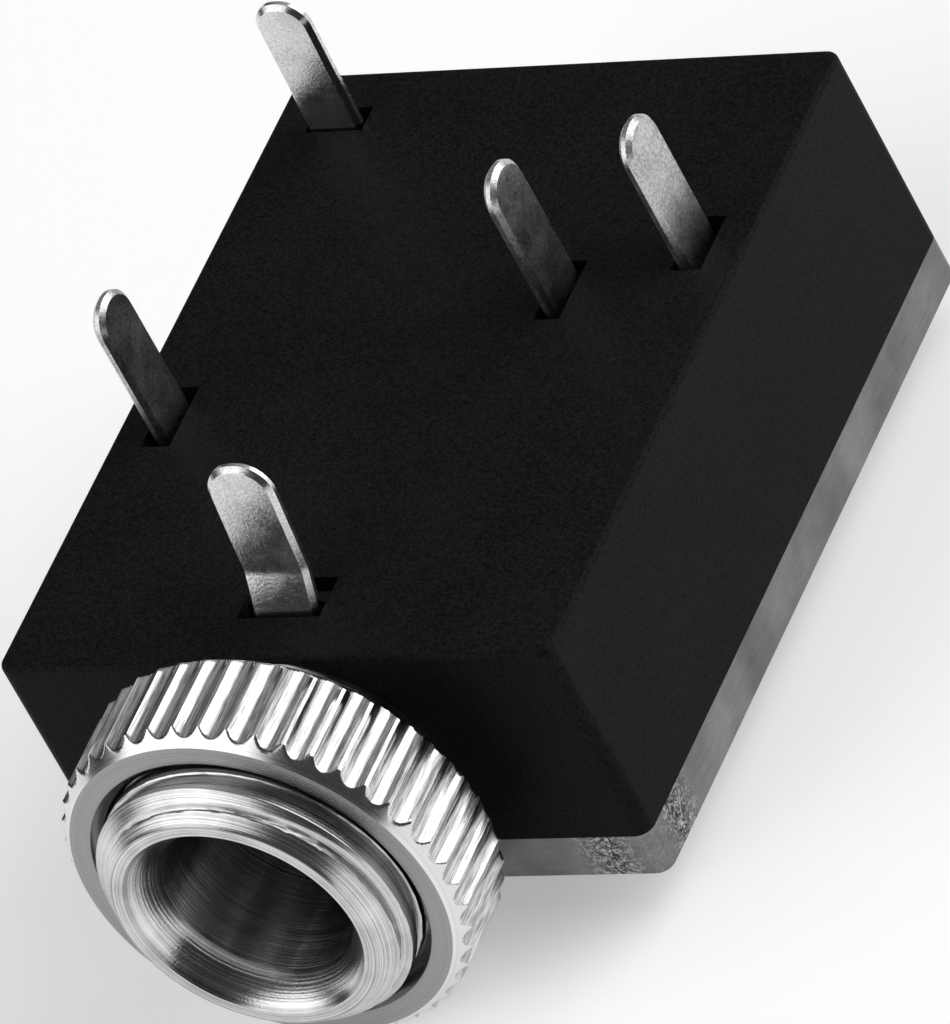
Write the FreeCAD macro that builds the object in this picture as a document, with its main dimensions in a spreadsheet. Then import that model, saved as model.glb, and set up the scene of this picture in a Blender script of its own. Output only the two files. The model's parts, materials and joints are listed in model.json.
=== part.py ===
import FreeCAD, Part
import Sketcher
import math
import os
import re

# A 3.5 mm stereo jack socket for a circuit board, in millimetres.
# X is to the right when looking into the mouth, Y runs from the mouth to the rear wall, and
# Z is up, the way the solder pins point. The origin is on the plug's axis, in the plane of
# the housing's front face.

doc = FreeCAD.newDocument("AudioJackSocket")
sheet = doc.addObject("Spreadsheet::Sheet", "Dimensions")

# Driving dimensions
dimensions = [
    ("housing_width", 11.5, "housing, side to side"),
    ("housing_length", 15.1, "housing, front face to rear face"),
    ("housing_height", 4.6, "moulded part, pin face to cover plate"),
    ("axis_depth", 2.5, "plug axis below the pin face"),
    ("corner_radius", 0.3, "upright corners of housing and cover plate"),
    ("edge_radius", 0.12, "rounding round the pin face"),
    ("side_wall", 0.7, "side walls"),
    ("front_wall", 1.1, "front wall"),
    ("rear_wall", 0.95, "rear wall"),
    ("roof", 0.6, "wall that the pins come through"),
    ("roof_at_bushing", 0.4, "the same wall above the bushing"),
    ("plate_thickness", 1.0, "cover plate"),
    ("stake_radius", 0.32, "pegs that hold the cover plate"),
    ("stake_head", 0.15, "height and flare of a peg's melted head"),
    ("stake_inset_side", 0.85, "peg from the side face"),
    ("stake_inset_end", 0.6, "peg from the front or rear face"),
    ("bore_radius", 1.8, "plug bore"),
    ("mouth_radius", 2.25, "wide end of the entry cone"),
    ("cone_length", 0.65, "entry cone"),
    ("bushing_reach", 4.0, "bushing in front of the housing"),
    ("lip_radius", 2.52, "flat ring round the mouth"),
    ("thread_radius", 2.97, "outside of the thread"),
    ("thread_lead_in", 0.5, "cone from that ring to the thread"),
    ("relief_radius", 2.45, "groove behind the thread"),
    ("relief_width", 0.6, "that groove, front to back"),
    ("neck_radius", 2.3, "bushing inside the front lip"),
    ("lip", 0.5, "front lip that the neck sits in"),
    ("flange_radius", 3.0, "bushing flange behind the lip"),
    ("flange_flat", 2.05, "flats on neck and flange, from the axis"),
    ("seat_clearance", 0.05, "gap round pieces that drop into the housing"),
    ("slot_gap", 0.04, "tight side of a pin's slot"),
    ("feed_gap", 0.24, "loose side of a pin's slot"),
    ("sleeve_slot", 0.97, "sleeve pin's slot, front to back"),
    ("rib_front", 0.47, "sunk rib across that slot, from its front"),
    ("rib_thickness", 0.25, "sunk rib, front to back"),
    ("rib_depth", 0.1, "sunk rib, below the pin face"),
    ("terminal_room", 1.1, "space behind the front wall for the sleeve terminal"),
    ("post_length", 1.1, "posts that grip the contacts"),
    ("post_thickness", 0.5, "the same posts, across"),
    ("thin_post", 0.22, "post between the tip contacts"),
    ("nut_radius", 3.87, "over the knurl's crests"),
    ("nut_thickness", 2.09, "nut, front to back"),
    ("nut_stand_off", 1.06, "gap between housing and nut"),
    ("nut_bore_radius", 3.03, "nut, over the thread"),
    ("nut_face_radius", 3.6, "flat front face of the nut"),
    ("nut_bevel", 0.28, "depth of the nut's front bevel"),
    ("nut_back_bevel", 0.2, "bevel at the nut's back edge"),
    ("nut_countersink", 0.17, "countersink of the nut's hole"),
    ("flute_radius", 0.215, "round bottom of a knurl flute"),
    ("flute_depth", 0.18, "depth of a knurl flute"),
    ("flute_count", 45, "flutes round the nut"),
    ("strip", 0.27, "thickness of the contact strip"),
    ("sleeve_pin_width", 1.36, "solder pin of the sleeve terminal"),
    ("pin_width", 1.2, "solder pins of the tip contacts"),
    ("ring_pin_width", 1.14, "solder pins of the ring contacts"),
    ("pin_reach", 2.95, "solder pin above the pin face"),
    ("pin_coin", 0.09, "coined edge round a pin's tip"),
    ("terminal_half_width", 3.4, "sleeve terminal, half its width"),
    ("terminal_hole_radius", 1.85, "hole in the sleeve terminal"),
    ("terminal_pin_side", -0.2, "sleeve pin, from the middle"),
    ("terminal_crank", 0.4, "set-back of the sleeve pin at its crank"),
    ("crank_start", 0.3, "lower bend of the crank, below the pin face"),
    ("crank_end", 0.68, "upper bend of the crank, above the pin face"),
    ("crank_radius", 0.8, "upper bend of the crank, centre line"),
    ("pin_lean", 0.31, "further lean of the sleeve pin up to its tip"),
    ("spring_half_height", 1.1, "half the height of a spring leaf"),
    ("anchor_foot", 0.7, "gap under the anchored legs"),
    ("anchor_length", 2.1, "anchored legs behind their pins"),
    ("leaf_start", 0.5, "start of a leaf, behind its pin"),
    ("return_width", 1.4, "turned-back end of a spring, across"),
    ("tip_return", 3.15, "tip spring's far end, behind its pin"),
    ("ring_return", 4.95, "ring spring's far end, behind its pin"),
    ("rest_offset", 0.41, "spring beside the break contact that it rests on"),
    ("tip_knee", 0.55, "tip spring's knee, behind the touching point"),
    ("ring_knee", 1.3, "ring spring's knee, behind the touching point"),
    ("tail_out", 0.95, "free end of a spring, outwards"),
    ("tail_forward", 1.05, "free end of a spring, forwards"),
    ("bend_radius", 0.45, "bends of the contact strip, centre line"),
    ("contact_bend_radius", 0.35, "bend that touches the plug"),
    ("tip_pin_x", 4.59, "tip spring's pin, sideways"),
    ("tip_pin_y", 10.23, "tip spring's pin, from the front"),
    ("tip_break_x", 2.19, "tip break contact's pin, sideways"),
    ("tip_break_y", 9.23, "tip break contact's pin, from the front"),
    ("ring_pin_x", -4.81, "ring spring's pin, sideways"),
    ("ring_pin_y", 6.33, "ring spring's pin, from the front"),
    ("ring_break_x", -4.35, "ring break contact's pin, sideways"),
    ("ring_break_y", 13.72, "ring break contact's pin, from the front"),
    ("ring_arm_x", -2.22, "long arm of the ring break contact, sideways"),
    ("tip_touch_y", 7.65, "where the tip spring touches the plug"),
    ("ring_touch_y", 5.1, "where the ring spring touches the plug"),
    ("touch_corner", 1.3, "corner of a spring's contact bend, from the axis"),
    ("dimple_radius", 0.3, "contact dimples"),
    ("tip_dimple", 0.16, "height of the tip break contact's dimple"),
    ("ring_dimple", 0.2, "height of the ring break contact's dimple"),
]
for row, (alias, number, meaning) in enumerate(dimensions, start=1):
    sheet.set(f"A{row}", meaning)
    sheet.set(f"B{row}", str(number))
    sheet.setAlias(f"B{row}", alias)
doc.recompute()

aliases = {alias for alias, number, meaning in dimensions}

# Levels that several pieces share
pin_face = "axis_depth"
plate_top = "(axis_depth - housing_height)"
plate_bottom = "(axis_depth - housing_height - plate_thickness)"
ceiling = "(axis_depth - roof)"
bushing_ceiling = "(axis_depth - roof_at_bushing)"
pin_top = "(axis_depth + pin_reach)"
anchor_bottom = "(axis_depth - housing_height + anchor_foot)"
inner_side = "(housing_width / 2 - side_wall)"
inner_rear = "(housing_length - rear_wall)"


# Drawing helpers
def bound(text):
    """Write an expression on the sheet's names the way the document reads it."""
    return re.sub(r"[a-z_]+", lambda word: "Dimensions." + word.group()
                  if word.group() in aliases else word.group(), str(text))


def size(text):
    """The present value of an expression on the sheet's names."""
    return float(sheet.evalExpression(bound(text)))


def new_body(name):
    body = doc.addObject("PartDesign::Body", name)
    body.Label = name
    return body


def origin_feature(body, role):
    return next(item for item in body.Origin.OriginFeatures if item.Role == role)


def new_sketch(body, name, role, offset="0"):
    """A sketch on one of the body's origin planes, moved along that plane's normal."""
    sketch = body.newObject("Sketcher::SketchObject", name)
    sketch.AttachmentSupport = (origin_feature(body, role), [""])
    sketch.MapMode = "FlatFace"
    sketch.setExpression("AttachmentOffset.Base.z", bound(offset))
    return sketch


def constrain(sketch, kind, *arguments):
    """Add a constraint whose last argument is an expression."""
    index = sketch.addConstraint(Sketcher.Constraint(kind, *arguments[:-1], size(arguments[-1])))
    sketch.setExpression(f"Constraints[{index}]", bound(arguments[-1]))


def pin_point(sketch, geometry, position, across, along):
    constrain(sketch, "DistanceX", -1, 1, geometry, position, across)
    constrain(sketch, "DistanceY", -1, 1, geometry, position, along)


def vector(across, along):
    return FreeCAD.Vector(size(across), size(along), 0)


def polygon(sketch, corners):
    """A closed outline of straight sides, each corner bound to the sheet."""
    first = sketch.GeometryCount
    following = corners[1:] + corners[:1]
    for start, end in zip(corners, following):
        sketch.addGeometry(Part.LineSegment(vector(*start), vector(*end)), False)
    for index, corner in enumerate(corners):
        last = first + (index - 1) % len(corners)
        sketch.addConstraint(Sketcher.Constraint("Coincident", last, 2, first + index, 1))
        pin_point(sketch, first + index, 1, *corner)


def rectangle(sketch, left, right, low, high):
    polygon(sketch, [(left, low), (right, low), (right, high), (left, high)])


def circle(sketch, across, along, radius):
    plain = Part.Circle(vector(across, along), FreeCAD.Vector(0, 0, 1), size(radius))
    geometry = sketch.addGeometry(plain, False)
    pin_point(sketch, geometry, 3, across, along)
    constrain(sketch, "Radius", geometry, radius)


def round_ended(sketch, left, right, low, high):
    """An upright strip with a full round at its top."""
    middle = f"(({left}) + ({right})) / 2"
    radius = f"(({right}) - ({left})) / 2"
    shoulder = f"({high}) - {radius}"
    corners = [(left, shoulder), (left, low), (right, low), (right, shoulder)]
    first = sketch.GeometryCount
    for start, end in zip(corners, corners[1:]):
        sketch.addGeometry(Part.LineSegment(vector(*start), vector(*end)), False)
    centre = Part.Circle(vector(middle, shoulder), FreeCAD.Vector(0, 0, 1), size(radius))
    arc = sketch.addGeometry(Part.ArcOfCircle(centre, 0, math.pi), False)
    for line in (first, first + 1):
        sketch.addConstraint(Sketcher.Constraint("Coincident", line, 2, line + 1, 1))
    sketch.addConstraint(Sketcher.Constraint("Coincident", arc, 1, first + 2, 2))
    sketch.addConstraint(Sketcher.Constraint("Coincident", arc, 2, first, 1))
    for index, corner in enumerate(corners[:3]):
        pin_point(sketch, first + index, 1, *corner)
    pin_point(sketch, first + 2, 2, *corners[3])
    constrain(sketch, "DistanceY", -1, 1, arc, 3, shoulder)


def bent_line(sketch, corners, radii):
    """An open path of straight runs, with a tangent arc at each inner corner."""
    points = [vector(*corner) for corner in corners]
    starts = [points[0]]
    ends = []
    bends = []
    for before, corner, after, radius in zip(points, points[1:], points[2:], radii):
        inward = (before - corner).normalize()
        outward = (after - corner).normalize()
        half_angle = inward.getAngle(outward) / 2
        setback = size(radius) / math.tan(half_angle)
        centre = corner + (inward + outward).normalize() * (size(radius) / math.sin(half_angle))
        ends.append(corner + inward * setback)
        starts.append(corner + outward * setback)
        turns_left = outward.cross(inward).z > 0
        limits = [ends[-1], starts[-1]] if turns_left else [starts[-1], ends[-1]]
        angles = [math.atan2(limit.y - centre.y, limit.x - centre.x) for limit in limits]
        whole = Part.Circle(centre, FreeCAD.Vector(0, 0, 1), size(radius))
        bends.append((Part.ArcOfCircle(whole, *angles), (1, 2) if turns_left else (2, 1)))
    ends.append(points[-1])
    lines = [sketch.addGeometry(Part.LineSegment(start, end), False)
             for start, end in zip(starts, ends)]
    for index, ((arc, (near, far)), radius) in enumerate(zip(bends, radii)):
        bend = sketch.addGeometry(arc, False)
        sketch.addConstraint(Sketcher.Constraint("Tangent", lines[index], 2, bend, near))
        sketch.addConstraint(Sketcher.Constraint("Tangent", bend, far, lines[index + 1], 1))
        constrain(sketch, "Radius", bend, radius)
        mark = sketch.addGeometry(Part.Point(points[index + 1]), True)
        sketch.addConstraint(Sketcher.Constraint("PointOnObject", mark, 1, lines[index]))
        sketch.addConstraint(Sketcher.Constraint("PointOnObject", mark, 1, lines[index + 1]))
        pin_point(sketch, mark, 1, *corners[index + 1])
    pin_point(sketch, lines[0], 1, *corners[0])
    pin_point(sketch, lines[-1], 2, *corners[-1])


# Feature helpers
def finish(body, feature, grows):
    """Recompute a feature and make sure that it added or removed material as meant."""
    before = body.Tip.Shape.Volume if body.Tip and body.Tip is not feature else 0
    if feature.BaseFeature:
        before = feature.BaseFeature.Shape.Volume
    doc.recompute()
    change = feature.Shape.Volume - before
    if (change > 0) != grows or abs(change) < 1e-6:
        raise ValueError(f"{feature.Name} changes the volume by {change:.4f}")
    return feature


def pad(body, sketch, length, back=False, both=False, taper=None):
    feature = body.newObject("PartDesign::Pad", sketch.Name + "Pad")
    feature.Profile = sketch
    feature.SideType = "Symmetric" if both else "One side"
    feature.setExpression("Length", bound(length))
    feature.Reversed = back
    if taper is not None:
        feature.TaperAngle = taper
    return finish(body, feature, True)


def pocket(body, sketch, length, back=False):
    feature = body.newObject("PartDesign::Pocket", sketch.Name + "Pocket")
    feature.Profile = sketch
    feature.setExpression("Length", bound(length))
    feature.Reversed = back
    return finish(body, feature, False)


def revolve(body, sketch):
    """Turn a profile once round the sketch's own horizontal axis."""
    feature = body.newObject("PartDesign::Revolution", sketch.Name + "Turned")
    feature.Profile = sketch
    feature.ReferenceAxis = (sketch, ["H_Axis"])
    feature.Angle = 360
    return finish(body, feature, True)


def sweep(body, profile, path):
    feature = body.newObject("PartDesign::AdditivePipe", path.Name + "Sweep")
    feature.Profile = profile
    feature.Spine = path
    return finish(body, feature, True)


def dress(body, kind, name, amount, wanted):
    """Fillet or chamfer the edges of the body that the test accepts."""
    base = body.Tip
    edges = [f"Edge{number}" for number, edge in enumerate(base.Shape.Edges, start=1)
             if wanted(edge)]
    feature = body.newObject("PartDesign::" + kind, name)
    feature.Base = (base, edges)
    feature.setExpression("Radius" if kind == "Fillet" else "Size", bound(amount))
    doc.recompute()
    return feature


def is_upright(edge):
    ends = [vertex.Point for vertex in edge.Vertexes]
    return len(ends) == 2 and math.hypot(ends[0].x - ends[1].x, ends[0].y - ends[1].y) < 1e-6


def lies_at(edge, axis, level):
    box = edge.BoundBox
    low, high = {"x": (box.XMin, box.XMax), "y": (box.YMin, box.YMax),
                 "z": (box.ZMin, box.ZMax)}[axis]
    return abs(low - size(level)) < 1e-4 and abs(high - size(level)) < 1e-4


# Slots of the solder pins, each with its left, right, front and back. One side of a slot guides
# the pin and the other is loose, so that the contact can be fed in.
half_pin = "pin_width / 2"
half_ring_pin = "ring_pin_width / 2"
half_strip = "strip / 2"
sleeve_left = "terminal_pin_side - sleeve_pin_width / 2 - feed_gap"
sleeve_right = "terminal_pin_side + sleeve_pin_width / 2 + feed_gap / 2"
slots = {
    "sleeve": (sleeve_left, sleeve_right, "front_wall", "front_wall + rib_front"),
    "behind the sleeve's rib": (sleeve_left, sleeve_right, "front_wall + rib_front + rib_thickness",
                                "front_wall + sleeve_slot"),
    "tip": (f"tip_pin_x - {half_strip} - slot_gap", inner_side,
            f"tip_pin_y - {half_pin} - feed_gap / 2", f"tip_pin_y + {half_pin} + slot_gap"),
    "tip break": (f"tip_break_x - {half_strip} - slot_gap", f"tip_break_x + {half_strip} + feed_gap",
                  f"tip_break_y - {half_pin} - feed_gap", f"tip_break_y + {half_pin} + slot_gap"),
    "ring": ("-" + inner_side, f"ring_pin_x + {half_strip} + feed_gap",
             f"ring_pin_y - {half_ring_pin} - feed_gap",
             f"ring_pin_y + {half_ring_pin} + feed_gap / 2"),
    "ring break": (f"ring_break_x - {half_ring_pin} - slot_gap",
                   f"ring_break_x + {half_ring_pin} + slot_gap",
                   f"ring_break_y - {half_strip} - slot_gap", inner_rear),
}


# Housing: a moulded box, open towards the cover plate
housing = new_body("housing")
outline = new_sketch(housing, "HousingOutline", "XY_Plane", plate_top)
rectangle(outline, "-housing_width / 2", "housing_width / 2", "0", "housing_length")
pad(housing, outline, "housing_height")
dress(housing, "Fillet", "HousingCorners", "corner_radius", is_upright)
dress(housing, "Fillet", "PinFaceEdge", "edge_radius", lambda edge: lies_at(edge, "z", pin_face))

cavity = new_sketch(housing, "Cavity", "XY_Plane", plate_top)
rectangle(cavity, "-" + inner_side, inner_side, "front_wall", inner_rear)
pocket(housing, cavity, "housing_height - roof", back=True)

# The bushing drops into the front wall from the open side: a round-topped slot for its neck, a
# recess for its flange, and room behind for the sleeve terminal
neck_slot = new_sketch(housing, "NeckSlot", "XZ_Plane")
round_ended(neck_slot, "-neck_radius - seat_clearance", "neck_radius + seat_clearance", plate_top,
            "neck_radius + seat_clearance")
pocket(housing, neck_slot, "lip")
for name, half_width, front, back in (
        ("FlangeRecess", "flange_radius + seat_clearance", "lip", "front_wall"),
        ("TerminalRoom", "terminal_half_width + 2 * seat_clearance", "front_wall",
         "front_wall + terminal_room")):
    opening = new_sketch(housing, name, "XY_Plane", plate_top)
    rectangle(opening, f"-({half_width})", half_width, front, back)
    pocket(housing, opening, "housing_height - roof_at_bushing", back=True)

slot_sketch = new_sketch(housing, "PinSlots", "XY_Plane", ceiling)
for slot in slots.values():
    rectangle(slot_sketch, *slot)
pocket(housing, slot_sketch, "roof", back=True)
rib_top = new_sketch(housing, "SleeveRib", "XY_Plane", f"{pin_face} - rib_depth")
rectangle(rib_top, sleeve_left, sleeve_right, "front_wall + rib_front",
          "front_wall + rib_front + rib_thickness")
pocket(housing, rib_top, "rib_depth", back=True)


# Posts from the roof grip the flat legs of the contacts and back the sleeve terminal
def post_beside(leg, side, front, thickness="post_thickness"):
    """The outline of a post on one side of a leg that runs front to back."""
    near = f"{leg} + {side} * ({half_strip} + slot_gap)"
    far = f"{leg} + {side} * ({half_strip} + slot_gap + {thickness})"
    return (near, far, front, f"{front} + post_length")


posts = [post_beside("tip_pin_x", -1, "tip_pin_y"),
         post_beside("tip_pin_x", 1, "tip_pin_y + post_length"),
         post_beside("tip_break_x", -1, "tip_break_y + post_length"),
         post_beside("tip_break_x", 1, "tip_break_y + post_length", "thin_post"),
         post_beside("ring_pin_x", 1, "ring_pin_y + post_length"),
         post_beside("ring_arm_x", -1, "ring_break_y - 2 * post_length"),
         ("ring_break_x - post_thickness", "ring_break_x + post_thickness",
          f"ring_break_y - {half_strip} - slot_gap - post_thickness",
          f"ring_break_y - {half_strip} - slot_gap")]
posts += [(f"{side} * terminal_half_width", f"{side} * (terminal_half_width - post_length)",
           "front_wall + strip + seat_clearance", "front_wall + terminal_room")
          for side in (-1, 1)]
post_sketch = new_sketch(housing, "Posts", "XY_Plane", bushing_ceiling)
for post in posts:
    rectangle(post_sketch, *post)
pad(housing, post_sketch, f"{bushing_ceiling} - {plate_top} - seat_clearance", back=True)

# Four pegs go through the cover plate and are melted over into its countersinks
peg_places = [(f"{side} * (housing_width / 2 - stake_inset_side)", along)
              for side in (-1, 1)
              for along in ("stake_inset_end", "housing_length - stake_inset_end")]
shank = new_sketch(housing, "PegShanks", "XY_Plane", plate_top)
head = new_sketch(housing, "PegHeads", "XY_Plane", f"{plate_bottom} + stake_head")
for across, along in peg_places:
    circle(shank, across, along, "stake_radius")
    circle(head, across, along, "stake_radius")
pad(housing, shank, "plate_thickness - stake_head", back=True)
pad(housing, head, "stake_head", back=True, taper=45)


# Cover plate: flat, with countersunk holes for the pegs
plate = new_body("cover_plate")
plate_outline = new_sketch(plate, "PlateOutline", "XY_Plane", plate_bottom)
rectangle(plate_outline, "-housing_width / 2", "housing_width / 2", "0", "housing_length")
pad(plate, plate_outline, "plate_thickness")
dress(plate, "Fillet", "PlateCorners", "corner_radius", is_upright)
dress(plate, "Chamfer", "PlateEdge", "edge_radius / 2",
      lambda edge: lies_at(edge, "z", plate_bottom))
peg_holes = new_sketch(plate, "PegHoles", "XY_Plane", plate_top)
for across, along in peg_places:
    circle(peg_holes, across, along, "stake_radius + 0.02")
pocket(plate, peg_holes, "plate_thickness")
dress(plate, "Chamfer", "Countersinks", "stake_head",
      lambda edge: lies_at(edge, "z", plate_bottom) and edge.Closed)


# Bushing: turned round the plug's axis, with flats that stop it turning in the housing
bushing = new_body("bushing")
turned = new_sketch(bushing, "BushingProfile", "YZ_Plane")
polygon(turned, [
    ("-bushing_reach + cone_length", "bore_radius"),
    ("-bushing_reach", "mouth_radius"),
    ("-bushing_reach + edge_radius / 3", "lip_radius"),
    ("-bushing_reach + thread_lead_in", "thread_radius"),
    ("-relief_width - thread_radius + relief_radius", "thread_radius"),
    ("-relief_width", "relief_radius"),
    ("0", "relief_radius"),
    ("0", "neck_radius"),
    ("lip", "neck_radius"),
    ("lip", "flange_radius"),
    ("front_wall", "flange_radius"),
    ("front_wall", "bore_radius + edge_radius"),
    ("front_wall - edge_radius", "bore_radius"),
])
revolve(bushing, turned)
flats = new_sketch(bushing, "Flats", "XZ_Plane")
for side in (-1, 1):
    rectangle(flats, "-flange_radius - lip", "flange_radius + lip", f"{side} * flange_flat",
              f"{side} * (flange_radius + lip)")
pocket(bushing, flats, "front_wall + lip")


# Nut: turned blank with bevels, then round-bottomed flutes all round
nut = new_body("nut")
nut_front = "(-nut_stand_off - nut_thickness)"
nut_back = "(-nut_stand_off)"
blank = new_sketch(nut, "NutProfile", "YZ_Plane")
polygon(blank, [
    (nut_front, "nut_bore_radius + nut_countersink"),
    (nut_front, "nut_face_radius"),
    (f"{nut_front} + nut_bevel", "nut_radius"),
    (f"{nut_back} - nut_back_bevel", "nut_radius"),
    (nut_back, "nut_radius - nut_back_bevel"),
    (nut_back, "nut_bore_radius + nut_countersink / 2"),
    (f"{nut_back} - nut_countersink / 2", "nut_bore_radius"),
    (f"{nut_front} + nut_countersink", "nut_bore_radius"),
])
revolve(nut, blank)
flute = new_sketch(nut, "Flute", "XZ_Plane", f"-{nut_front}")
circle(flute, "nut_radius - flute_depth + flute_radius", "0", "flute_radius")
first_flute = pocket(nut, flute, "nut_thickness")
knurl = nut.newObject("PartDesign::PolarPattern", "Knurl")
knurl.Originals = [first_flute]
knurl.Axis = (origin_feature(nut, "Y_Axis"), [""])
knurl.Angle = 360
knurl.setExpression("Occurrences", bound("flute_count"))
nut.Tip = knurl
doc.recompute()


# Contacts: stamped from strip, bent, with round-ended solder pins whose edges are coined
def coin_tip(body, name):
    """Bevel the edges of a pin, from its curved end down to where it widens."""
    near_top = size(pin_top) - 0.7 * size("sleeve_pin_width")
    dress(body, "Chamfer", name, "pin_coin",
          lambda edge: edge.BoundBox.ZMin > near_top and edge.Length > 2 * size("strip")
          and edge.Curve.TypeId == "Part::GeomCircle")


def straight_pin(body, name, role, offset, middle, width):
    """A flat pin with a full round at its end, standing on a blade."""
    outline = new_sketch(body, name, role, offset)
    round_ended(outline, f"{middle} - {width} / 2", f"{middle} + {width} / 2", "0", pin_top)
    pad(body, outline, "strip", both=True)
    coin_tip(body, name + "Coin")


def bent_pin(body, name, across, width, corners, radii):
    """A pin that faces forwards and follows a bent line in the YZ plane."""
    path = new_sketch(body, name, "YZ_Plane", across)
    bent_line(path, corners, radii)
    middle, foot = corners[0]
    section = new_sketch(body, name + "Section", "XY_Plane", foot)
    rectangle(section, f"{across} - {width} / 2", f"{across} + {width} / 2",
              f"{middle} - strip / 2", f"{middle} + strip / 2")
    sweep(body, section, path)
    tip = size(pin_top)
    dress(body, "Fillet", name + "Tip", f"{width} * 0.47",
          lambda edge: edge.BoundBox.ZMin > tip - 0.1 and edge.Length < 1.1 * size("strip"))
    coin_tip(body, name + "Coin")


def leaf_profile(body, name, role, offset, across, half_height):
    """The strip's section, standing on edge, at the start of a leaf's path."""
    section = new_sketch(body, name, role, offset)
    rectangle(section, f"{across} - strip / 2", f"{across} + strip / 2", f"-{half_height}",
              half_height)
    return section


def dimple(body, name, face, along, height, towards):
    """A small pressed contact point on a leg that faces sideways."""
    spot = new_sketch(body, name, "YZ_Plane", face)
    circle(spot, along, "0", "dimple_radius")
    pad(body, spot, height, back=towards < 0)
    level = f"{face} + {towards} * ({height})"
    dress(body, "Chamfer", name + "Bevel", f"{height} / 2",
          lambda edge: lies_at(edge, "x", level) and edge.Closed)


# Sleeve terminal: a plate clamped behind the bushing, whose pin is cranked backwards
terminal = new_body("sleeve_terminal")
terminal_plate = new_sketch(terminal, "TerminalPlate", "XZ_Plane",
                            "-front_wall - seat_clearance / 2")
rectangle(terminal_plate, "-terminal_half_width", "terminal_half_width",
          f"{plate_top} + seat_clearance", "flange_flat")
circle(terminal_plate, "0", "0", "terminal_hole_radius")
pad(terminal, terminal_plate, "strip", back=True)
dress(terminal, "Fillet", "TerminalCorners", "corner_radius",
      lambda edge: abs(edge.Length - size("strip")) < 1e-6
      and abs(abs(edge.BoundBox.XMax) - size("terminal_half_width")) < 1e-6)
pin_middle = f"(front_wall + seat_clearance / 2 + {half_strip})"
bent_pin(terminal, "TerminalPin", "terminal_pin_side", "sleeve_pin_width", [
    (pin_middle, "flange_flat - strip"),
    (pin_middle, f"{pin_face} - crank_start"),
    (f"{pin_middle} + terminal_crank", f"{pin_face} + crank_end"),
    (f"{pin_middle} + terminal_crank + pin_lean", pin_top),
], ["bend_radius", "crank_radius"])

# Tip spring: anchored at the right wall, turned back on itself and bent in to the plug's tip
tip_spring = new_body("tip_spring")
anchor = new_sketch(tip_spring, "TipAnchor", "YZ_Plane", "tip_pin_x")
rectangle(anchor, f"tip_pin_y - {half_pin}", "tip_pin_y + anchor_length", anchor_bottom, ceiling)
pad(tip_spring, anchor, "strip", both=True)
straight_pin(tip_spring, "TipPin", "YZ_Plane", "tip_pin_x", "tip_pin_y", "pin_width")
tip_path = new_sketch(tip_spring, "TipLeaf", "XY_Plane")
bent_line(tip_path, [
    ("tip_pin_x", "tip_pin_y + leaf_start"),
    ("tip_pin_x", "tip_pin_y + tip_return"),
    ("tip_pin_x - return_width", "tip_pin_y + tip_return"),
    ("tip_break_x + rest_offset", "tip_touch_y + tip_knee"),
    ("touch_corner", "tip_touch_y"),
    ("touch_corner + tail_out", "tip_touch_y - tail_forward"),
], ["bend_radius", "bend_radius", "bend_radius", "contact_bend_radius"])
tip_section = leaf_profile(tip_spring, "TipSection", "XZ_Plane", "-tip_pin_y - leaf_start",
                           "tip_pin_x", "spring_half_height")
sweep(tip_spring, tip_section, tip_path)

# Tip break contact: a flat blade beside the plug, which the tip spring rests on
tip_break = new_body("tip_break_contact")
blade = new_sketch(tip_break, "TipBreakBlade", "YZ_Plane", "tip_break_x")
rectangle(blade, f"tip_break_y - {half_pin} - slot_gap", "tip_break_y + anchor_length",
          anchor_bottom, ceiling)
pad(tip_break, blade, "strip", both=True)
straight_pin(tip_break, "TipBreakPin", "YZ_Plane", "tip_break_x", "tip_break_y", "pin_width")
dimple(tip_break, "TipBreakDimple", f"tip_break_x + {half_strip}", "tip_break_y - dimple_radius",
       "tip_dimple", 1)

# Ring spring: the same kind of leaf, anchored at the left wall
ring_spring = new_body("ring_spring")
ring_anchor = new_sketch(ring_spring, "RingAnchor", "YZ_Plane", "ring_pin_x")
rectangle(ring_anchor, f"ring_pin_y - {half_ring_pin}", "ring_pin_y + anchor_length",
          anchor_bottom, ceiling)
pad(ring_spring, ring_anchor, "strip", both=True)
straight_pin(ring_spring, "RingPin", "YZ_Plane", "ring_pin_x", "ring_pin_y", "ring_pin_width")
ring_path = new_sketch(ring_spring, "RingLeaf", "XY_Plane")
bent_line(ring_path, [
    ("ring_pin_x", "ring_pin_y + leaf_start"),
    ("ring_pin_x", "ring_pin_y + ring_return"),
    ("ring_pin_x + return_width", "ring_pin_y + ring_return"),
    ("ring_arm_x - rest_offset", "ring_touch_y + ring_knee"),
    ("-touch_corner", "ring_touch_y"),
    ("-touch_corner - tail_out", "ring_touch_y - tail_forward"),
], ["bend_radius", "bend_radius", "bend_radius", "contact_bend_radius"])
ring_section = leaf_profile(ring_spring, "RingSection", "XZ_Plane", "-ring_pin_y - leaf_start",
                            "ring_pin_x", "spring_half_height")
sweep(ring_spring, ring_section, ring_path)

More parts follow.
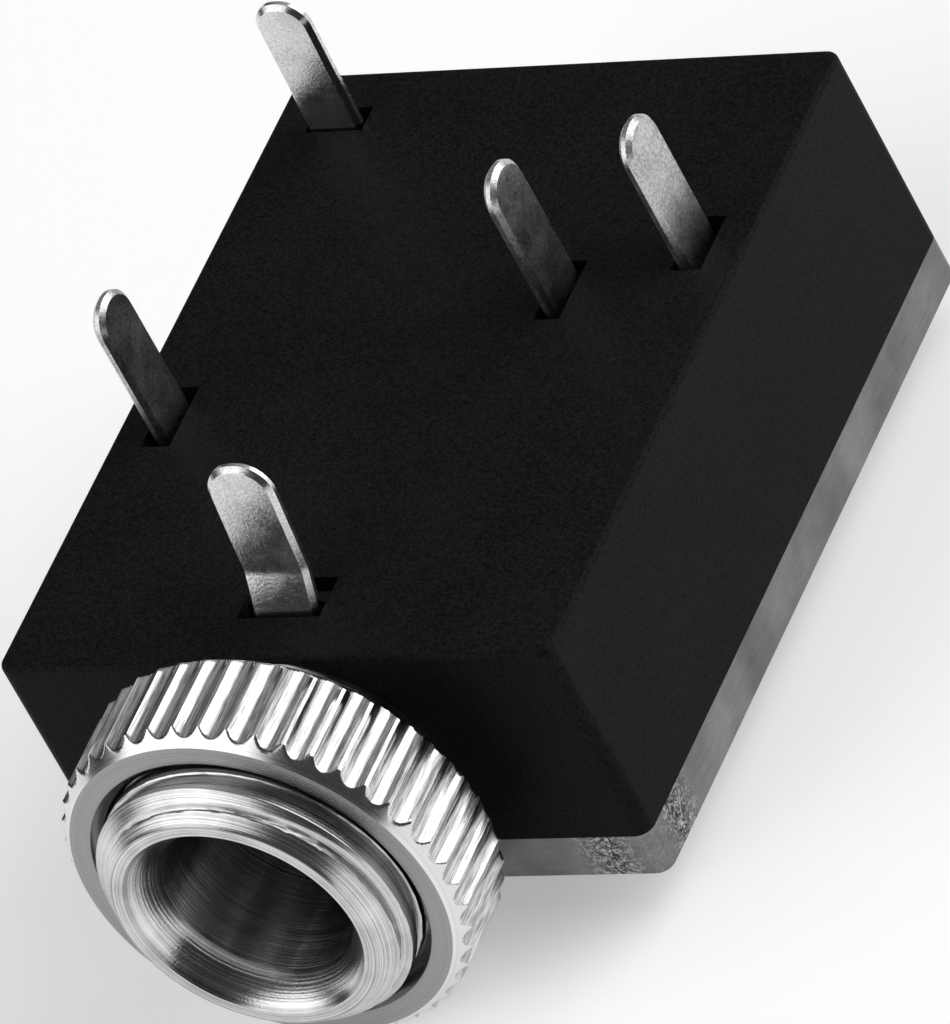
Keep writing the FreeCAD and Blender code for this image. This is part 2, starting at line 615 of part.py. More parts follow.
# Ring break contact: anchored at the rear wall, with a long arm inside the ring spring
ring_break = new_body("ring_break_contact")
rear_blade = new_sketch(ring_break, "RingBreakBlade", "XZ_Plane", "-ring_break_y")
rectangle(rear_blade, f"ring_break_x - {half_ring_pin}", "ring_break_x + anchor_length / 2",
          anchor_bottom, ceiling)
pad(ring_break, rear_blade, "strip", both=True)
bent_pin(ring_break, "RingBreakPin", "ring_break_x", "ring_pin_width", [
    ("ring_break_y", "leaf_start"),
    ("ring_break_y", f"{pin_face} - rib_depth"),
    (f"ring_break_y + {half_strip}", pin_top),
], ["pin_reach / 2"])
arm_path = new_sketch(ring_break, "RingBreakArm", "XY_Plane")
bent_line(arm_path, [
    ("ring_break_x", "ring_break_y"),
    ("ring_arm_x", "ring_break_y"),
    ("ring_arm_x", "ring_touch_y + ring_knee + leaf_start"),
], ["bend_radius"])
arm_section = new_sketch(ring_break, "RingBreakSection", "YZ_Plane", "ring_break_x")
rectangle(arm_section, f"ring_break_y - {half_strip}", f"ring_break_y + {half_strip}",
          "-spring_half_height", "spring_half_height")
sweep(ring_break, arm_section, arm_path)
dimple(ring_break, "RingBreakDimple", f"ring_arm_x - {half_strip}",
       "ring_touch_y + ring_knee + leaf_start + dimple_radius", "ring_dimple", -1)


# Checks, then one file for each piece
doc.recompute()
for item in doc.Objects:
    if "Invalid" in item.State or "Error" in item.State:
        raise ValueError(f"{item.Name} is {item.State}")
bodies = [item for item in doc.Objects if item.TypeId == "PartDesign::Body"]
os.makedirs("parts", exist_ok=True)
for body in bodies:
    if body.Shape.isNull() or not body.Shape.isValid() or len(body.Shape.Solids) != 1:
        raise ValueError(f"{body.Label} isn't one valid solid")
for body in bodies:
    body.Shape.exportStep(f"parts/{body.Label}.step")
    print(f"{body.Label}: {body.Shape.Volume:.2f} mm3")
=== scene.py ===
# %% [markdown]
# # A jack socket for a circuit board
# The real part is about as long as a thumbnail is wide: a black moulded box, a metal plate under
# it, a threaded bushing with a knurled nut in front, and five bright solder pins on top. The
# solids come ready from the CAD frame. This notebook gives them their surfaces, and makes the two
# turned pieces again: the bushing, whose thread the solids leave out, and the nut, whose knurl is
# shown with finer steps.

# %% Load the frame
import json
import math

import bmesh
import bpy
from mathutils import Matrix, Vector

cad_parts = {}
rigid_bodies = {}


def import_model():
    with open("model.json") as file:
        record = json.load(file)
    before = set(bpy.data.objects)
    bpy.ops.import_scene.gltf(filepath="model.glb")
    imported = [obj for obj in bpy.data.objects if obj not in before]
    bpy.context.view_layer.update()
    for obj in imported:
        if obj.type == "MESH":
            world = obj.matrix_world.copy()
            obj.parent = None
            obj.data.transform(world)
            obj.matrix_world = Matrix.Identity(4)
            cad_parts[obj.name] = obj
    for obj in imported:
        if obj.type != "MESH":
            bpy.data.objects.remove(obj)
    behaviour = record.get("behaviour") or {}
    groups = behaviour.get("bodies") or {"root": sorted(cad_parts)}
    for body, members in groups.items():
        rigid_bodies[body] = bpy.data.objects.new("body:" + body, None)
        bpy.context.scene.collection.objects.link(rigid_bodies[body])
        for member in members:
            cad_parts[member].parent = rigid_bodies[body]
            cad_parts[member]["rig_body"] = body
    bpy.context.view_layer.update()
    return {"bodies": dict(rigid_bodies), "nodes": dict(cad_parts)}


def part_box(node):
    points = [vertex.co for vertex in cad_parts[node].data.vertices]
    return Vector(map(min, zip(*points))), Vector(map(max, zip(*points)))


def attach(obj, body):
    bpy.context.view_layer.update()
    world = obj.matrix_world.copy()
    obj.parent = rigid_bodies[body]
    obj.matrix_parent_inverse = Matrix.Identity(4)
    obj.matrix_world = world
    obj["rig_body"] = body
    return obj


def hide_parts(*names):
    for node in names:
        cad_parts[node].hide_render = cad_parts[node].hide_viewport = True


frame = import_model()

nodes = frame["nodes"]
bodies = frame["bodies"]
print("nodes:", sorted(nodes))
print("bodies:", sorted(bodies))

# %% [markdown]
# ## The camera
# A product photographer stands far off with a long lens, so that the edges stay nearly parallel.
# The place, turn and lens below were solved from the corners of the box in the photograph. A
# camera can be placed with a constraint, but a matrix from three angles is exact and easy to read.

# %% Camera
mm = 0.001
lens_length = 620.018
sensor_width = 36
camera_azimuth = 41.016
camera_elevation = 36.605
camera_roll = -29.373
camera_distance = 316 * mm
camera_target = (-0.212 * mm, 7.042 * mm, -0.911 * mm)


def camera_matrix(azimuth, elevation, roll, distance, target):
    """A camera that looks at the target from that azimuth and elevation, turned by roll."""
    azimuth = math.radians(azimuth)
    elevation = math.radians(elevation)
    back = Vector((math.sin(azimuth) * math.cos(elevation),
                   -math.cos(azimuth) * math.cos(elevation),
                   math.sin(elevation)))
    right = Vector((math.cos(azimuth), math.sin(azimuth), 0))
    up = back.cross(right)
    turned = Matrix.Rotation(math.radians(roll), 3, back)
    axes = Matrix((turned @ right, turned @ up, back)).transposed().to_4x4()
    return Matrix.Translation(Vector(target) + distance * back) @ axes


lens_data = bpy.data.cameras.new("camera")
lens_data.lens = lens_length
lens_data.sensor_width = sensor_width
lens_data.clip_start = 0.02
lens_data.clip_end = 10
camera = bpy.data.objects.new("camera", lens_data)
bpy.context.scene.collection.objects.link(camera)
camera.matrix_world = camera_matrix(camera_azimuth, camera_elevation, camera_roll,
                                    camera_distance, camera_target)
bpy.context.scene.camera = camera
print("camera at", [round(coordinate / mm, 2) for coordinate in camera.location])

# %% [markdown]
# ## Node trees as sums
# A material and a geometry tree are both graphs of small nodes. Wiring them by hand hides the
# idea, so a socket is wrapped here in a class whose plus, minus and times add the Math nodes.
# The formula in the script is then the formula on the surface.

# %% Sockets that add up
class Value:
    """A number on a node's output, which can be used in a formula."""

    def __init__(self, tree, socket):
        self.tree = tree
        self.socket = socket

    def maths(self, operation, *others, clamp=False):
        return self.tree.add("ShaderNodeMath", {"operation": operation, "use_clamp": clamp},
                             {index: term for index, term in enumerate((self, *others))})

    def __add__(self, other):
        return self.maths("ADD", other)

    __radd__ = __add__

    def __mul__(self, other):
        return self.maths("MULTIPLY", other)

    __rmul__ = __mul__

    def __sub__(self, other):
        return self.maths("SUBTRACT", other)

    def __rsub__(self, other):
        return self * -1 + other

    def __truediv__(self, other):
        return self.maths("DIVIDE", other)

    def __rtruediv__(self, other):
        return self ** -1 * other

    def __pow__(self, other):
        return self.maths("POWER", other)

    def clamped(self):
        return self.maths("ADD", 0, clamp=True)

    def least(self, other):
        return self.maths("MINIMUM", other)

    def most(self, other):
        return self.maths("MAXIMUM", other)

    def sine(self):
        return self.maths("SINE")

    def cosine(self):
        return self.maths("COSINE")

    def root(self):
        return self.maths("SQRT")

    def size(self):
        return self.maths("ABSOLUTE")

    def fraction(self):
        return self.maths("FRACT")

    def above(self, other):
        return self.maths("GREATER_THAN", other)


class Tree:
    """A node tree that nodes are added to with one call each."""

    def __init__(self, nodes_and_links):
        self.nodes = nodes_and_links.nodes
        self.links = nodes_and_links.links

    def add(self, kind, settings=None, inputs=None, output=0):
        """Add a node: its settings first, then a number or a link for each named input."""
        node = self.nodes.new(kind)
        for name, setting in (settings or {}).items():
            if name == "stops":
                self.set_stops(node.color_ramp, setting)
            else:
                setattr(node, name, setting)
        for name, value in (inputs or {}).items():
            self.feed(node.inputs[name], value)
        return Value(self, node.outputs[output]) if node.outputs else node

    def feed(self, socket, value):
        if isinstance(value, Value):
            self.links.new(value.socket, socket)
        else:
            socket.default_value = value

    @staticmethod
    def set_stops(ramp, stops):
        while len(ramp.elements) < len(stops):
            ramp.elements.new(0.5)
        for element, (place, grey) in zip(ramp.elements, stops):
            element.position = place
            element.color = (grey, grey, grey, 1)

    def part(self, vector, axis):
        """One component of a vector."""
        return self.add("ShaderNodeSeparateXYZ", None, {0: vector}, output=axis)

    def vector(self, x, y, z):
        return self.add("ShaderNodeCombineXYZ", None, {0: x, 1: y, 2: z})

    def noise(self, vector, scale, detail=2, roughness=0.5, distortion=0):
        return self.add("ShaderNodeTexNoise", None,
                        {"Vector": vector, "Scale": scale, "Detail": detail,
                         "Roughness": roughness, "Distortion": distortion})

    def lines(self, along, scale, detail, roughness):
        """Noise on one number, so that it draws lines where that number is constant."""
        return self.add("ShaderNodeTexNoise", {"noise_dimensions": "1D"},
                        {"W": along, "Scale": scale, "Detail": detail, "Roughness": roughness})

    def ramp(self, value, stops):
        return self.add("ShaderNodeValToRGB", {"stops": stops}, {"Fac": value})


print("formula class ready")

# %% [markdown]
# ## Finishes
# Every finish starts the same way: a Principled shader, the place of the point on the object,
# and its direction. Patterns read the object's own coordinates in metres, so a pattern stays on
# its piece when the nut turns, and its grain has a real size.

# %% A finish to start from
class Finish(Tree):
    """A material with its Principled shader, and the point's place and direction."""

    def __init__(self, name, **constants):
        self.material = bpy.data.materials.new(name)
        self.material.use_nodes = True
        super().__init__(self.material.node_tree)
        self.shader = self.nodes["Principled BSDF"]
        for socket, value in constants.items():
            self.shader.inputs[socket.replace("_", " ")].default_value = value
        place = self.nodes.new("ShaderNodeTexCoord")
        self.place = Value(self, place.outputs["Object"])
        self.facing = Value(self, place.outputs["Normal"])
        self.x, self.y, self.z = (self.part(self.place, axis) for axis in range(3))

    def drive(self, **links):
        for socket, value in links.items():
            self.feed(self.shader.inputs[socket.replace("_", " ")], value)

    def bump(self, height, depth, strength):
        """Raise the surface by the height, whose full range is the depth in metres."""
        self.drive(Normal=self.add("ShaderNodeBump", None, {"Height": height, "Distance": depth,
                                                            "Strength": strength}))


def grey(level):
    return (level, level, level, 1)


print("finish class ready")

# %% [markdown]
# ### Black moulded plastic
# The box is matt, with a fine grain. Moulds are often spark-eroded, which leaves a grain of about
# a twentieth of a millimetre. The grain scatters the light, so black stays black with a soft sheen.

# %% Black plastic
def black_plastic():
    finish = Finish("black_plastic", Specular_IOR_Level=0.035)
    grain = finish.noise(finish.place, 1 / (0.06 * mm), detail=3, roughness=0.65)
    flow = finish.noise(finish.place, 1 / (2.5 * mm), detail=3)
    finish.drive(Base_Color=finish.ramp(grain * 0.85 + flow * 0.15, [(0.35, 0.003), (0.65, 0.016)]),
                 Roughness=(grain * 0.2 + flow * 0.1 + 0.3).clamped())
    finish.bump(grain, 0.006 * mm, 0.6)
    return finish.material


plastic = black_plastic()
print("made", plastic.name)

# %% [markdown]
# ### Turned and plated brass
# A lathe tool leaves fine rings: round the axis on a cylinder, and concentric on an end face.
# On the bushing both are drawn where one sum is constant: the distance from the axis plus a
# little less than the distance along it. Nickel plating makes the brass silvery and keeps the
# rings. The bore, the nut's face and the edge of its hole get painted shade: their colour is
# darkened, because they look darker than this studio's light would leave them. Inside the bore,
# lighter lengthwise streaks are painted into that shade. The edges below are radii in millimetres.

# %% Turned nickel
ring_slant = 0.93
cone_edge = 2.24
bore_edge = 1.81
hole_edge = 3.21


def turned_nickel():
    finish = Finish("turned_nickel", Metallic=1.0)
    from_axis = (finish.x * finish.x + finish.z * finish.z).root()
    across_rings = from_axis + finish.y * ring_slant
    rings = finish.lines(across_rings, 1 / (0.045 * mm), detail=4, roughness=0.75)
    clouds = finish.noise(finish.place, 1 / (0.7 * mm), detail=4)
    specks = finish.noise(finish.place, 1 / (0.05 * mm), detail=2)
    in_cone = 1 - from_axis.above(cone_edge * mm)
    in_bore = 1 - from_axis.above(bore_edge * mm)
    # Painted shade in the bore: its colour is darkened, and lighter lengthwise streaks are painted into
    # that shade.
    lengthwise = finish.vector(finish.x, finish.y * 0.04, finish.z)
    streaks_in_painted_shade = finish.ramp(finish.noise(lengthwise, 1 / (0.45 * mm), detail=2),
                       [(0.45, 0.0), (0.66, 0.22)])
    shine = finish.ramp(rings * 0.75 + clouds * 0.25, [(0.36, 0.3), (0.6, 0.8)])
    # The bore's painted shade and its painted lighter streaks go into the colour here.
    finish.drive(Base_Color=shine * (1 - in_bore * (rings * 0.8 + 0.25 - streaks_in_painted_shade)),
                 Roughness=(clouds * 0.1 + specks * 0.08 * (1 - in_bore) + rings * 0.08
                            + in_bore * 0.06 + 0.08).clamped())
    marks = rings * 0.8 + specks * 0.2 * (1 - in_bore)
    finish.bump(marks * (in_cone * 2.5 + 1), 0.006 * mm, 0.6)
    return finish.material


def knurled_nickel():
    finish = Finish("knurled_nickel", Metallic=1.0)
    from_axis = (finish.x * finish.x + finish.z * finish.z).root()
    forwards = finish.part(finish.facing, 1).size()
    on_face = forwards.above(0.9)
    turned = forwards.above(0.5)
    rings = finish.lines(from_axis, 1 / (0.05 * mm), detail=4, roughness=0.75)
    pressed = finish.vector(finish.x, finish.y * 0.06, finish.z)
    drag = finish.noise(pressed, 1 / (0.03 * mm), detail=3)
    clouds = finish.noise(finish.place, 1 / (0.6 * mm), detail=4)
    marks = rings * turned + drag * (1 - turned)
    streaks = finish.ramp(marks * 0.75 + clouds * 0.25, [(0.38, 0.32), (0.6, 0.78)])
    shine = streaks * (1 - turned) + (marks * 0.3 + 0.6) * turned
    # Painted shade: the colour of the nut's face and of the edge of its hole is darkened.
    in_hole = 1 - from_axis.above(hole_edge * mm)
    finish.drive(Base_Color=shine * (1 - on_face * (0.35 + marks * 0.4)) * (1 - in_hole * 0.7),
                 Roughness=(clouds * 0.08 + marks * 0.1 + on_face * 0.04 + 0.08).clamped())
    finish.bump(marks * (on_face * 1.5 + 0.5), 0.003 * mm, 0.5)
    return finish.material


bushing_nickel = turned_nickel()
nut_nickel = knurled_nickel()
print("made", bushing_nickel.name, "and", nut_nickel.name)

# %% [markdown]
# ### Plated contact strip
# Such contacts are usually punched from rolled strip and tinned: the tin has fine grains, and the
# rolls leave faint marks along the strip. Two of the pins look brighter and smoother. They get a
# smoother finish, and their colour is painted brighter, which stands in for the brighter light they
# mirror.

# %% Tinned strip
def tinned_strip(name, dullness, darkest, brightest):
    finish = Finish(name, Metallic=1.0)
    grain = finish.noise(finish.place, 1 / (0.05 * mm), detail=4, roughness=0.65)
    clouds = finish.noise(finish.place, 1 / (0.5 * mm), detail=4)
    stretched = finish.vector(finish.x, finish.y, finish.z * 0.15)
    rolling = finish.noise(stretched, 1 / (0.04 * mm), detail=3)
    finish.drive(Base_Color=finish.ramp(clouds * 0.3 + grain * 0.7,
                                        [(0.38, darkest), (0.62, brightest)]),
                 Roughness=(clouds * 0.2 + grain * 0.1 + dullness).clamped())
    finish.bump(grain * 0.7 + rolling * 0.3, 0.006 * mm, 0.8)
    return finish.material


# Painted light: this smoother tin's colour is painted brighter, standing in for the brighter light it
# mirrors.
smooth_tin_painted_bright = tinned_strip("smooth_tin_painted_bright", dullness=0.05, darkest=0.5, brightest=0.85)
satin_tin = tinned_strip("satin_tin", dullness=0.18, darkest=0.3, brightest=0.72)
print("made", smooth_tin_painted_bright.name, "and", satin_tin.name)

# %% [markdown]
# ### Cover plate
# The plate is taken for blanked sheet. Its edge shows fine lines along the sheet, and mottled
# marks on both sides of the front right corner, which a dragging punch could leave. The rear right
# corner is plain. The left corners don't show in the photograph, so the marks drawn at the front
# left one are a guess.

# %% Plate metal
corner_x = 5.45
corner_y = 0.3


def plate_metal():
    finish = Finish("plate_metal", Metallic=1.0)
    along_edges = finish.vector(finish.x * 0.08, finish.y * 0.08, finish.z)
    sheet_lines = finish.noise(along_edges, 1 / (0.05 * mm), detail=4, roughness=0.6)
    mottle = finish.noise(finish.place, 1 / (0.1 * mm), detail=4, roughness=0.7, distortion=1.2)
    sideways = finish.x.size() - corner_x * mm
    backwards = finish.y - corner_y * mm
    from_corner = (sideways * sideways + backwards * backwards).root() / mm
    dragged = ((from_corner - 0.25) * 2.5).clamped() * ((1.5 - from_corner) * 1.3).clamped()
    torn = finish.ramp(mottle, [(0.46, 0.03), (0.62, 0.6)])
    surface = sheet_lines * (1 - dragged) + mottle * dragged
    clouds = finish.noise(finish.place, 1 / (1.3 * mm), detail=3)
    plain = (sheet_lines * 0.14 + 0.14) * (clouds * 1.4 + 0.3)
    finish.drive(Base_Color=plain * (1 - dragged) + torn * dragged,
                 Roughness=(surface * 0.2 + 0.28).clamped())
    finish.bump(surface, 0.008 * mm, 0.6)
    return finish.material


plate_finish = plate_metal()
print("made", plate_finish.name)

# %% [markdown]
# ## Pieces that keep their CAD shape
# The box, the plate and the contacts already have the right shape, but their meshes are loose
# triangles with hard facets. A copy with its points merged and its shallow angles smoothed lets
# light run round the corners. The normals that came with the triangles no longer fit the merged
# faces, so the copy drops them.

# %% Smoothed copies
merge_distance = 0.0005 * mm
flat_angle = 0.5
soft_angle = 32


def smoothed_copy(node, material):
    """A copy of a CAD node with merged points and soft shading."""
    source = nodes[node]
    shape = bmesh.new()
    shape.from_mesh(source.data)
    bmesh.ops.remove_doubles(shape, verts=shape.verts, dist=merge_distance)
    bmesh.ops.dissolve_limit(shape, angle_limit=math.radians(flat_angle), verts=shape.verts,
                             edges=shape.edges)
    mesh = bpy.data.meshes.new(node + "_finished")
    shape.to_mesh(mesh)
    shape.free()
    mesh.attributes.remove(mesh.attributes["custom_normal"])
    mesh.materials.clear()
    mesh.materials.append(material)
    piece = bpy.data.objects.new(node + "_finished", mesh)
    bpy.context.scene.collection.objects.link(piece)
    mesh.shade_smooth()
    mesh.set_sharp_from_angle(angle=math.radians(soft_angle))
    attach(piece, source["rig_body"])
    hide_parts(node)
    print(piece.name, len(mesh.polygons), "faces")


for node, material in (
        ("housing", plastic),
        ("cover_plate", plate_finish),
        ("sleeve_terminal", smooth_tin_painted_bright),
        ("tip_spring", satin_tin),
        ("tip_break_contact", satin_tin),
        ("ring_spring", satin_tin),
        ("ring_break_contact", smooth_tin_painted_bright)):
    smoothed_copy(node, material)

# %% [markdown]
# ## Turned pieces that follow a rule
# A thread and a knurl are both rules: the distance from the axis is a formula of the place
# along the axis and the angle round it. The profile that a lathe would cut is a short list of
# corners. A geometry tree lays a grid of points over that profile and all the way round, and
# moves each point to where the formula says.

# %% Profile and rule
seam_distance = 0.0002 * mm
least_sine = 0.001


def profile_mesh(name, corners, finest):
    """The lathe's profile as points: a corner is (y, radius, worked), in millimetres.
    A run whose two corners are worked is divided finely, because the rule shapes it."""
    points = []
    marks = []
    for (y, radius, worked), (next_y, next_radius, next_worked) in zip(
            corners, corners[1:] + corners[:1]):
        length = math.hypot(next_y - y, next_radius - radius)
        steps = max(1, math.ceil(length / finest)) if worked and next_worked else 1
        for step in range(steps):
            share = step / steps
            points.append((0, (y + (next_y - y) * share) * mm,
                           (radius + (next_radius - radius) * share) * mm))
            marks.append(1.0 if worked and (next_worked or step == 0) else 0.0)
    mesh = bpy.data.meshes.new(name)
    mesh.from_pydata(points, [], [])
    mesh.attributes.new("worked", "FLOAT", "POINT").data.foreach_set("value", marks)
    return bpy.data.objects.new(name, mesh), len(points)


def new_input(group, name, kind, value=None):
    socket = group.interface.new_socket(name, in_out="INPUT", socket_type=kind)
    if value is not None:
        socket.default_value = value
    return socket.identifier


class Lathe(Tree):
    """A geometry tree that turns a profile, with a rule for the radius of its worked rows."""

    def __init__(self, name, numbers):
        self.group = bpy.data.node_groups.new(name, "GeometryNodeTree")
        super().__init__(self.group)
        self.group.interface.new_socket("Geometry", in_out="OUTPUT",
                                        socket_type="NodeSocketGeometry")
        self.identifiers = {"Profile": new_input(self.group, "Profile", "NodeSocketObject"),
                            "Rows": new_input(self.group, "Rows", "NodeSocketInt"),
                            "Sectors": new_input(self.group, "Sectors", "NodeSocketInt"),
                            "Finish": new_input(self.group, "Finish", "NodeSocketMaterial")}
        for number, value in numbers.items():
            self.identifiers[number] = new_input(self.group, number, "NodeSocketFloat", value)
        source = self.nodes.new("NodeGroupInput")
        self.inputs = {socket.name: Value(self, socket) for socket in source.outputs
                       if socket.name}

        rows, sectors = self.inputs["Rows"], self.inputs["Sectors"]
        grid = self.add("GeometryNodeMeshGrid", None,
                        {"Size X": 1.0, "Size Y": 1.0, "Vertices X": sectors + 1,
                         "Vertices Y": rows + 1})
        index = self.add("GeometryNodeInputIndex")
        column = (index / (rows + 1)).maths("FLOOR")
        row = (index - column * (rows + 1)).maths("MODULO", rows)
        self.angle = column / sectors * math.tau
        profile = self.add("GeometryNodeObjectInfo", {"transform_space": "ORIGINAL"},
                           {"Object": self.inputs["Profile"]}, output="Geometry")
        place = self.sample(profile, self.add("GeometryNodeInputPosition"), row, "FLOAT_VECTOR")
        mark = self.add("GeometryNodeInputNamedAttribute", {"data_type": "FLOAT"},
                        {"Name": "worked"})
        self.worked = self.sample(profile, mark, row, "FLOAT")
        self.along = self.part(place, 1)
        self.radius = self.part(place, 2)
        self.grid = grid

    def sample(self, geometry, value, index, kind):
        return self.add("GeometryNodeSampleIndex", {"data_type": kind, "domain": "POINT"},
                        {"Geometry": geometry, "Value": value, "Index": index})

    def close(self, radius, flat=None):
        """Move the grid's points out to the radius, merge the seams and give the finish.
        A flat cuts the plain rows behind the origin off at that height above and below."""
        plain = self.radius
        if flat is not None:
            turned_flat = flat / self.angle.sine().size().most(least_sine)
            behind = self.along.above(0.0)
            plain = plain.least(turned_flat * behind + plain * (1 - behind))
        used = self.worked * radius + (1 - self.worked) * plain
        place = self.vector(self.angle.cosine() * used, self.along, self.angle.sine() * used)
        moved = self.add("GeometryNodeSetPosition", None,
                         {"Geometry": self.grid, "Position": place})
        merged = self.add("GeometryNodeMergeByDistance", None,
                          {"Geometry": moved, "Distance": seam_distance})
        real = self.add("GeometryNodeRealizeInstances", None, {"Geometry": merged})
        finished = self.add("GeometryNodeSetMaterial", None,
                            {"Geometry": real, "Material": self.inputs["Finish"]})
        target = self.nodes.new("NodeGroupOutput")
        self.feed(target.inputs[0], finished)

    def turn(self, name, corners, finest, sectors, material, node, smooth_angle):
        """Run the tree on a profile and keep the result as a plain mesh on the node's body."""
        profile, rows = profile_mesh(name + "_profile", corners, finest)
        holder = bpy.data.objects.new(name + "_holder", bpy.data.meshes.new(name + "_holder"))
        bpy.context.scene.collection.objects.link(holder)
        modifier = holder.modifiers.new("lathe", "NODES")
        modifier.node_group = self.group
        for label, value in (("Profile", profile), ("Rows", rows), ("Sectors", sectors),
                             ("Finish", material)):
            modifier[self.identifiers[label]] = value
        bpy.context.view_layer.update()
        evaluated = holder.evaluated_get(bpy.context.evaluated_depsgraph_get())
        mesh = bpy.data.meshes.new_from_object(evaluated)
        bpy.data.objects.remove(holder)
        bpy.data.objects.remove(profile)
        shape = bmesh.new()
        shape.from_mesh(mesh)
        bmesh.ops.recalc_face_normals(shape, faces=shape.faces)
        if shape.calc_volume(signed=True) < 0:
            bmesh.ops.reverse_faces(shape, faces=shape.faces)
        loose = sum(1 for edge in shape.edges if len(edge.link_faces) != 2)
        shape.to_mesh(mesh)
        shape.free()
        mesh.name = name
        mesh.shade_smooth()
        mesh.set_sharp_from_angle(angle=math.radians(smooth_angle))
        piece = bpy.data.objects.new(name, mesh)
        bpy.context.scene.collection.objects.link(piece)
        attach(piece, nodes[node]["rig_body"])
        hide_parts(node)
        print(name, len(mesh.polygons), "faces, open edges", loose)


print("lathe ready")

# %% [markdown]
# ### Threaded bushing
# The front of the bushing carries a fine thread, taken to be half a millimetre between crests.
# On the lathe the tool moves along while the piece turns, so the crest's place along the axis
# drifts by one pitch in each turn. A triangle wave of that drifting place, with its top cut
# flat and its sides eased, is the thread, with broad crests as in the photograph. The lead-in
# cone cuts it away at the front. Radii and places along the axis are in millimetres, and places
# count from the front of the box.

# %% Thread
bushing_low, bushing_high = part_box("bushing")
front = bushing_low.y / mm
back = bushing_high.y / mm
bore = 1.8
bore_chamfer = 0.12
mouth = 2.25
mouth_depth = 0.65
lip_radius = 2.52
crest = 2.97
cone_back = front + 0.5
cone_slope = (crest - lip_radius) / 0.46
thread_end = -1.12
thread_last_step = 0.001
relief = 2.45
relief_front = -0.6
waist = 2.3
flats_front = 0.01
flange = 3.0
flange_front = 0.5


def threaded_lathe():
    lathe = Lathe("threaded_lathe", {"Pitch": 0.5 * mm, "Crest": crest * mm, "Depth": 0.31 * mm,
                                     "First crest": -3.0 * mm, "Lead-in": cone_back * mm,
                                     "Lead-in slope": cone_slope, "Flats": 2.05 * mm})
    given = lathe.inputs
    turns = (lathe.along - given["First crest"]) / given["Pitch"] + lathe.angle / math.tau - 0.25
    wave = (turns.fraction() * 2 - 1).size()
    flank = (wave * 2.2 - 0.15).clamped()
    height = flank * flank * (3 - flank * 2)
    thread = given["Crest"] - given["Depth"] * (1 - height)
    cone = given["Crest"] + (lathe.along - given["Lead-in"]) * given["Lead-in slope"]
    lathe.close(thread.least(cone), flat=given["Flats"])
    return lathe


bushing_corners = [
    (front + mouth_depth, bore, False),
    (front + 0.03, mouth - 0.01, False),
    (front, mouth + 0.02, False),
    (front, lip_radius - 0.02, False),
    (front + 0.05, lip_radius + 0.01, True),
    (thread_end - thread_last_step, crest, True),
    (thread_end, crest, False),
    (relief_front, relief, False),
    (0, relief, False),
    (0, waist, False),
    (flats_front, waist, False),
    (flange_front, waist, False),
    (flange_front, flange, False),
    (back, flange, False),
    (back, bore + bore_chamfer, False),
    (back - bore_chamfer, bore, False),
]
threaded_lathe().turn("threaded_bushing", bushing_corners, finest=0.015, sectors=192,
                      material=bushing_nickel, node="bushing", smooth_angle=44)

# %% [markdown]
# ### Knurled nut
# A knurling wheel presses such round-bottomed flutes into a rim, and there are forty-five here.
# Seen from the front, each is a small circle that bites into the big one, and the distance from
# the axis to that circle is a formula of the angle. The front and back bevels cut the flutes off
# in scallops. The flutes here are shallower than those of the CAD solid, which look too deep
# beside the photograph.

# %% Knurl
nut_low, nut_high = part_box("nut")
nut_front = nut_low.y / mm
nut_back = nut_high.y / mm
nut_radius = nut_high.x / mm
nut_hole = 3.03
face_edge = 3.6
front_bevel = 0.28
back_bevel = 0.2
front_chamfer = 0.17
back_chamfer = 0.085
print("nut from", round(nut_front, 3), "to", round(nut_back, 3), "radius", round(nut_radius, 3))


def knurled_lathe():
    lathe = Lathe("knurled_lathe", {"Flutes": 45, "Flute radius": 0.27 * mm,
                                    "Flute depth": 0.13 * mm, "Rim": nut_radius * mm})
    given = lathe.inputs
    step = math.tau / given["Flutes"]
    offset = ((lathe.angle / step + 0.5).fraction() - 0.5) * step
    centre = given["Rim"] - given["Flute depth"] + given["Flute radius"]
    sideways = centre * offset.sine()
    inside = (given["Flute radius"] ** 2 - sideways * sideways).most(0.0)
    bitten = centre * offset.cosine() - inside.root()
    in_flute = given["Flute radius"].above(sideways.size())
    fluted = bitten * in_flute + given["Rim"] * (1 - in_flute)
    lathe.close(lathe.radius.least(fluted))
    return lathe


nut_corners = [
    (nut_front, nut_hole + front_chamfer, False),
    (nut_front, face_edge, True),
    (nut_front + front_bevel, nut_radius, True),
    (nut_back - back_bevel, nut_radius, True),
    (nut_back, nut_radius - back_bevel, True),
    (nut_back, nut_hole + back_chamfer, False),
    (nut_back - back_chamfer, nut_hole, False),
    (nut_front + front_chamfer, nut_hole, False),
]
knurled_lathe().turn("knurled_nut", nut_corners, finest=0.06, sectors=720,
                     material=nut_nickel, node="nut", smooth_angle=35)

# %% [markdown]
# ## Studio
# Bright metal shows what stands round it, so the surround is made of soft-edged white cards with
# dark room between them: one to the front left, one to the right rear, and a dimmer one above the
# rear. A large soft lamp from the right rear adds the light and the shadow. The floor lies just
# below the nut, and is white by its colour and a little glow that the camera and reflections see.

# %% Floor, surround and lamp
floor_half = 600 * mm
floor_gap = 0.03 * mm
floor_glow = 0.35


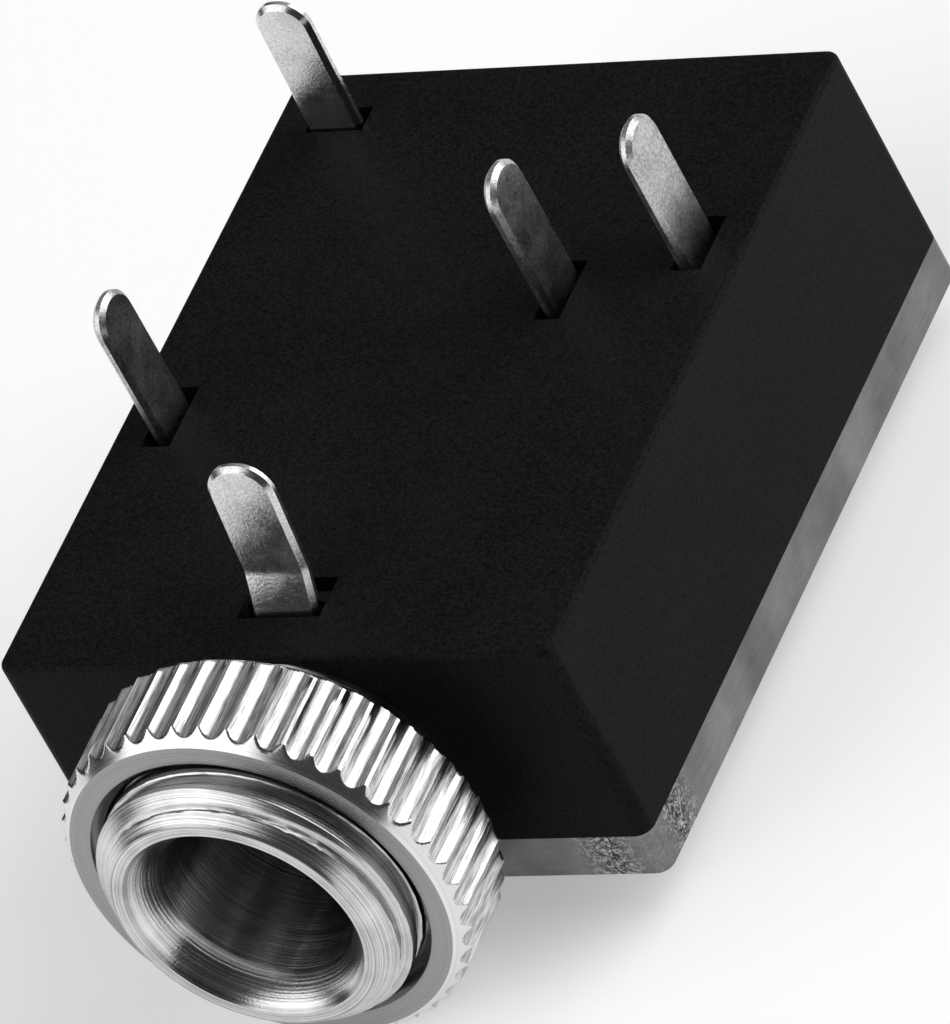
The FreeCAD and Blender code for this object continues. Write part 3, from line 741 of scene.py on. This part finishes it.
def pale_floor():
    material = bpy.data.materials.new("floor")
    material.use_nodes = True
    tree = Tree(material.node_tree)
    shader = tree.nodes["Principled BSDF"]
    shader.inputs["Base Color"].default_value = grey(0.85)
    shader.inputs["Roughness"].default_value = 0.9
    shader.inputs["Specular IOR Level"].default_value = 0.1
    rays = tree.nodes.new("ShaderNodeLightPath")
    seen = (Value(tree, rays.outputs["Is Camera Ray"]) + Value(tree, rays.outputs["Is Glossy Ray"])
            + Value(tree, rays.outputs["Is Transmission Ray"])).clamped()
    tree.feed(shader.inputs["Emission Color"], grey(1.0))
    tree.feed(shader.inputs["Emission Strength"], seen * floor_glow)
    return material


floor_mesh = bpy.data.meshes.new("floor")
floor_level = nut_low.z - floor_gap
floor_corners = [(x * floor_half, y * floor_half, floor_level)
                 for x, y in ((-1, -1), (1, -1), (1, 1), (-1, 1))]
floor_mesh.from_pydata(floor_corners, [], [(0, 1, 2, 3)])
floor_mesh.materials.append(pale_floor())
floor = bpy.data.objects.new("floor", floor_mesh)
bpy.context.scene.collection.objects.link(floor)

world = bpy.data.worlds.new("surround")
bpy.context.scene.world = world
world.use_nodes = True
sky = Tree(world.node_tree)
direction = sky.add("ShaderNodeTexCoord", None, None, output="Generated")
background = sky.nodes["Background"]
background.inputs["Color"].default_value = grey(1.0)


def panel(towards, edge, full):
    """A soft-edged panel of the surround: 1 towards that direction, 0 beyond its edge."""
    towards = Vector(towards).normalized()
    near = sum(sky.part(direction, axis) * towards[axis] for axis in range(3))
    return ((near - edge) / (full - edge)).clamped()


brightness = 0.05
for towards, edge, full, card_brightness in (
        ((-0.5, -0.72, 0.48), 0.78, 0.88, 1.55),
        ((0.75, 0.55, 0.35), 0.72, 0.85, 0.9),
        ((0, 0.6, 0.8), 0.55, 0.9, 0.3)):
    brightness = brightness + panel(towards, edge, full) * card_brightness
sky.feed(background.inputs["Strength"], brightness)


def soft_lamp(name, width, radiance, azimuth, elevation, distance):
    """A square lamp of that brightness, which looks at the object from that direction."""
    data = bpy.data.lights.new(name, "AREA")
    data.shape = "SQUARE"
    data.size = width
    data.energy = radiance * math.pi * width ** 2
    lamp = bpy.data.objects.new(name, data)
    bpy.context.scene.collection.objects.link(lamp)
    lamp.matrix_world = camera_matrix(azimuth, elevation, 0, distance, (0, 6 * mm, 0))


soft_lamp("right_rear_lamp", width=320 * mm, radiance=1.35, azimuth=125, elevation=38,
          distance=300 * mm)
bpy.context.scene.view_settings.view_transform = "Standard"
print("floor at", round(floor_level / mm, 2), "mm")
